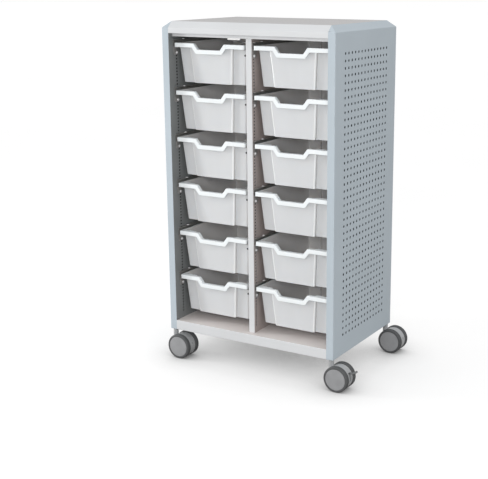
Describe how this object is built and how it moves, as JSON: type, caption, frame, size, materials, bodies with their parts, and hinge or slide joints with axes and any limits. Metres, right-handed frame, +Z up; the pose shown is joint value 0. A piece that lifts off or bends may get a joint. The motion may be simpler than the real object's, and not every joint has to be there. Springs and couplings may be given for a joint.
{
  "type": "mobile tray storage unit",
  "caption": "Free-standing two-bay steel storage unit on swivel castors, with deep plastic trays sliding on runners and perforated side panels.",
  "frame": {"origin": "on the floor, below the middle of the carcass in plan", "axes": "+X to the right seen from the front, +Y towards the back, +Z up"},
  "size_m": [0.8325, 0.548, 1.331],
  "materials": {
    "side_paint": "satin powder coat, blue grey",
    "liner_paint": "satin powder coat, grey",
    "white_paint": "satin powder coat, off white",
    "back_paint": "satin powder coat, warm grey",
    "runner_steel": "zinc grey",
    "catch_steel": "white",
    "tray_plastic": "translucent white, satin",
    "castor_plastic": "mid grey",
    "wheel_rubber": "dark grey tread, grey hub cap",
    "pedal_plastic": "dark grey"
  },
  "bodies": {
    "carcass": {"left_side_panel": "side_paint", "right_side_panel": "side_paint", "left_liner": "liner_paint", "right_liner": "liner_paint", "top_panel": "white_paint", "base_panel": "white_paint", "back_panel": "back_paint", "centre_divider": "white_paint", "catch_plate": "catch_steel", "runner_left_1_outer": "runner_steel", "runner_left_1_inner": "runner_steel", "runner_left_2_outer": "runner_steel", "runner_left_2_inner": "runner_steel", "runner_left_3_outer": "runner_steel", "runner_left_3_inner": "runner_steel", "runner_left_4_outer": "runner_steel", "runner_left_4_inner": "runner_steel", "runner_left_5_outer": "runner_steel", "runner_left_5_inner": "runner_steel", "runner_left_6_outer": "runner_steel", "runner_left_6_inner": "runner_steel", "runner_right_1_outer": "runner_steel", "runner_right_1_inner": "runner_steel", "runner_right_2_outer": "runner_steel", "runner_right_2_inner": "runner_steel", "runner_right_3_outer": "runner_steel", "runner_right_3_inner": "runner_steel", "runner_right_4_outer": "runner_steel", "runner_right_4_inner": "runner_steel", "runner_right_5_outer": "runner_steel", "runner_right_5_inner": "runner_steel", "runner_right_6_outer": "runner_steel", "runner_right_6_inner": "runner_steel"},
    "tray_left_1": {"tray_left_1": "tray_plastic"},
    "tray_left_2": {"tray_left_2": "tray_plastic"},
    "tray_left_3": {"tray_left_3": "tray_plastic"},
    "tray_left_4": {"tray_left_4": "tray_plastic"},
    "tray_left_5": {"tray_left_5": "tray_plastic"},
    "tray_left_6": {"tray_left_6": "tray_plastic"},
    "tray_right_1": {"tray_right_1": "tray_plastic"},
    "tray_right_2": {"tray_right_2": "tray_plastic"},
    "tray_right_3": {"tray_right_3": "tray_plastic"},
    "tray_right_4": {"tray_right_4": "tray_plastic"},
    "tray_right_5": {"tray_right_5": "tray_plastic"},
    "tray_right_6": {"tray_right_6": "tray_plastic"},
    "castor_front_left": {"castor_front_left": "castor_plastic"},
    "wheel_front_left_near": {"wheel_front_left_near": "wheel_rubber"},
    "wheel_front_left_far": {"wheel_front_left_far": "wheel_rubber"},
    "castor_front_right": {"castor_front_right": "castor_plastic"},
    "wheel_front_right_near": {"wheel_front_right_near": "wheel_rubber"},
    "wheel_front_right_far": {"wheel_front_right_far": "wheel_rubber"},
    "brake_pedal_front_right": {"brake_pedal_front_right": "pedal_plastic"},
    "castor_rear_left": {"castor_rear_left": "castor_plastic"},
    "wheel_rear_left_near": {"wheel_rear_left_near": "wheel_rubber"},
    "wheel_rear_left_far": {"wheel_rear_left_far": "wheel_rubber"},
    "brake_pedal_rear_left": {"brake_pedal_rear_left": "pedal_plastic"},
    "castor_rear_right": {"castor_rear_right": "castor_plastic"},
    "wheel_rear_right_near": {"wheel_rear_right_near": "wheel_rubber"},
    "wheel_rear_right_far": {"wheel_rear_right_far": "wheel_rubber"}
  },
  "joints": [
    {"name": "slide_left_1", "type": "slide", "parent": "carcass", "child": "tray_left_1", "axis": [0, -1, 0], "range_m": [0, 0.4]},
    {"name": "slide_left_2", "type": "slide", "parent": "carcass", "child": "tray_left_2", "axis": [0, -1, 0], "range_m": [0, 0.4]},
    {"name": "slide_left_3", "type": "slide", "parent": "carcass", "child": "tray_left_3", "axis": [0, -1, 0], "range_m": [0, 0.4]},
    {"name": "slide_left_4", "type": "slide", "parent": "carcass", "child": "tray_left_4", "axis": [0, -1, 0], "range_m": [0, 0.4]},
    {"name": "slide_left_5", "type": "slide", "parent": "carcass", "child": "tray_left_5", "axis": [0, -1, 0], "range_m": [0, 0.4]},
    {"name": "slide_left_6", "type": "slide", "parent": "carcass", "child": "tray_left_6", "axis": [0, -1, 0], "range_m": [0, 0.4]},
    {"name": "slide_right_1", "type": "slide", "parent": "carcass", "child": "tray_right_1", "axis": [0, -1, 0], "range_m": [0, 0.4]},
    {"name": "slide_right_2", "type": "slide", "parent": "carcass", "child": "tray_right_2", "axis": [0, -1, 0], "range_m": [0, 0.4]},
    {"name": "slide_right_3", "type": "slide", "parent": "carcass", "child": "tray_right_3", "axis": [0, -1, 0], "range_m": [0, 0.4]},
    {"name": "slide_right_4", "type": "slide", "parent": "carcass", "child": "tray_right_4", "axis": [0, -1, 0], "range_m": [0, 0.4]},
    {"name": "slide_right_5", "type": "slide", "parent": "carcass", "child": "tray_right_5", "axis": [0, -1, 0], "range_m": [0, 0.4]},
    {"name": "slide_right_6", "type": "slide", "parent": "carcass", "child": "tray_right_6", "axis": [0, -1, 0], "range_m": [0, 0.4]},
    {"name": "swivel_front_left", "type": "hinge", "parent": "carcass", "child": "castor_front_left", "pos_m": [-0.3555, -0.2355, 0.11297], "axis": [0, 0, 1], "continuous": true},
    {"name": "roll_front_left_near", "type": "hinge", "parent": "castor_front_left", "child": "wheel_front_left_near", "pos_m": [-0.3205, -0.2355, 0.04957], "axis": [0, 1, 0], "continuous": true},
    {"name": "roll_front_left_far", "type": "hinge", "parent": "castor_front_left", "child": "wheel_front_left_far", "pos_m": [-0.3205, -0.2355, 0.04957], "axis": [0, 1, 0], "continuous": true},
    {"name": "swivel_front_right", "type": "hinge", "parent": "carcass", "child": "castor_front_right", "pos_m": [0.3555, -0.2355, 0.11297], "axis": [0, 0, 1], "continuous": true},
    {"name": "roll_front_right_near", "type": "hinge", "parent": "castor_front_right", "child": "wheel_front_right_near", "pos_m": [0.3905, -0.2355, 0.04957], "axis": [0, 1, 0], "continuous": true},
    {"name": "roll_front_right_far", "type": "hinge", "parent": "castor_front_right", "child": "wheel_front_right_far", "pos_m": [0.3905, -0.2355, 0.04957], "axis": [0, 1, 0], "continuous": true},
    {"name": "press_front_right", "type": "hinge", "parent": "castor_front_right", "child": "brake_pedal_front_right", "pos_m": [0.3905, -0.2355, 0.04957], "axis": [0, 1, 0], "range_deg": [0, 31]},
    {"name": "swivel_rear_left", "type": "hinge", "parent": "carcass", "child": "castor_rear_left", "pos_m": [-0.3555, 0.2355, 0.11297], "axis": [0, 0, 1], "continuous": true},
    {"name": "roll_rear_left_near", "type": "hinge", "parent": "castor_rear_left", "child": "wheel_rear_left_near", "pos_m": [-0.3205, 0.2355, 0.04957], "axis": [0, 1, 0], "continuous": true},
    {"name": "roll_rear_left_far", "type": "hinge", "parent": "castor_rear_left", "child": "wheel_rear_left_far", "pos_m": [-0.3205, 0.2355, 0.04957], "axis": [0, 1, 0], "continuous": true},
    {"name": "press_rear_left", "type": "hinge", "parent": "castor_rear_left", "child": "brake_pedal_rear_left", "pos_m": [-0.3205, 0.2355, 0.04957], "axis": [0, 1, 0], "range_deg": [0, 31]},
    {"name": "swivel_rear_right", "type": "hinge", "parent": "carcass", "child": "castor_rear_right", "pos_m": [0.3555, 0.2355, 0.11297], "axis": [0, 0, 1], "continuous": true},
    {"name": "roll_rear_right_near", "type": "hinge", "parent": "castor_rear_right", "child": "wheel_rear_right_near", "pos_m": [0.3905, 0.2355, 0.04957], "axis": [0, 1, 0], "continuous": true},
    {"name": "roll_rear_right_far", "type": "hinge", "parent": "castor_rear_right", "child": "wheel_rear_right_far", "pos_m": [0.3905, 0.2355, 0.04957], "axis": [0, 1, 0], "continuous": true}
  ]
}
